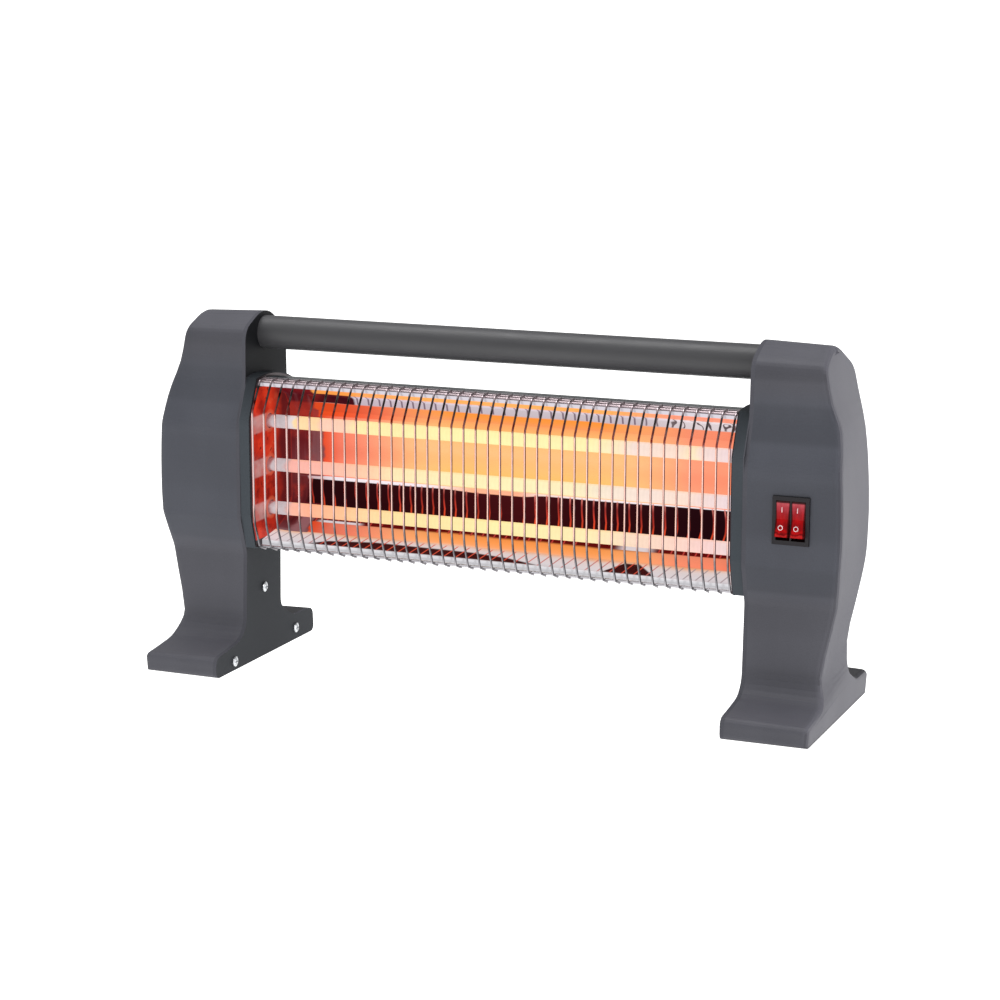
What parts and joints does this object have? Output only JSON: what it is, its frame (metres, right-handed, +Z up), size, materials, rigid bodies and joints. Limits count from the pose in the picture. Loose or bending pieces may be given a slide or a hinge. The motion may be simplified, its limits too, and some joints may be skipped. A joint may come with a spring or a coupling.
{
  "type": "electric bar heater",
  "caption": "Portable radiant heater: glowing quartz tubes in a polished reflector behind a wire grille, between two swept feet with a tube handle.",
  "frame": {"origin": "on the floor, under the middle of the heater, midway between the legs and between the ends of the feet", "axes": "+X along the heater to the leg with the switch, +Y to the back, +Z up; the glowing side faces -Y"},
  "size_m": [0.5354, 0.1596, 0.267],
  "materials": {
    "leg_plastic": "fine satin grain",
    "cover_plastic": "smooth satin",
    "black_plastic": "semi-gloss",
    "pale_plastic": "moulded",
    "red_rocker": "translucent, polished",
    "handle_paint": "satin powder coat",
    "rear_paint": "satin powder coat",
    "polished_aluminium": "mirror polished",
    "bright_steel": "zinc plated",
    "chromed_wire": "bright chrome",
    "milky_quartz": "milky, fire polished",
    "hot_coil": "oxidised resistance wire",
    "ceramic": "unglazed",
    "terminal_brass": "pressed"
  },
  "bodies": {
    "heater": {"left_leg_shell": "leg_plastic", "right_leg_shell": "leg_plastic", "left_inner_cover": "cover_plastic", "right_inner_cover": "cover_plastic", "left_cover_screws": "bright_steel", "right_cover_screws": "bright_steel", "handle_tube": "handle_paint", "handle_plugs": "black_plastic", "handle_screws": "bright_steel", "rear_cover": "rear_paint", "reflector": "polished_aluminium", "left_end_plate": "polished_aluminium", "right_end_plate": "polished_aluminium", "end_plate_screws": "bright_steel", "quartz_tube_top": "milky_quartz", "quartz_tube_middle": "milky_quartz", "quartz_tube_bottom": "milky_quartz", "heating_coil_top": "hot_coil", "heating_coil_middle": "hot_coil", "heating_coil_bottom": "hot_coil", "left_ceramic_caps": "ceramic", "right_ceramic_caps": "ceramic", "left_tube_terminals": "terminal_brass", "right_tube_terminals": "terminal_brass", "grille_wires": "chromed_wire", "grille_rails": "chromed_wire", "switch_frame": "black_plastic", "switch_terminals": "terminal_brass", "tip_switch_bracket": "pale_plastic", "tip_switch_pin": "bright_steel", "tip_switch_contacts": "terminal_brass", "tip_switch_screws": "bright_steel", "terminal_block": "pale_plastic", "terminal_block_screws": "bright_steel", "cord_gland": "black_plastic"},
    "left_rocker": {"left_rocker": "red_rocker"},
    "right_rocker": {"right_rocker": "red_rocker"},
    "tip_switch_pendulum": {"tip_switch_pendulum": "terminal_brass"}
  },
  "joints": [
    {"name": "left_rocker_pivot", "type": "hinge", "parent": "heater", "child": "left_rocker", "pos_m": [0.2263, -0.03198, 0.149], "axis": [1, 0, 0], "range_deg": [0, 20]},
    {"name": "right_rocker_pivot", "type": "hinge", "parent": "heater", "child": "right_rocker", "pos_m": [0.2374, -0.03198, 0.149], "axis": [1, 0, 0], "range_deg": [0, 20]},
    {"name": "tip_switch_swing", "type": "hinge", "parent": "heater", "child": "tip_switch_pendulum", "pos_m": [-0.2252, 0, 0.08245], "axis": [0, 1, 0], "range_deg": [-20, 20]}
  ]
}
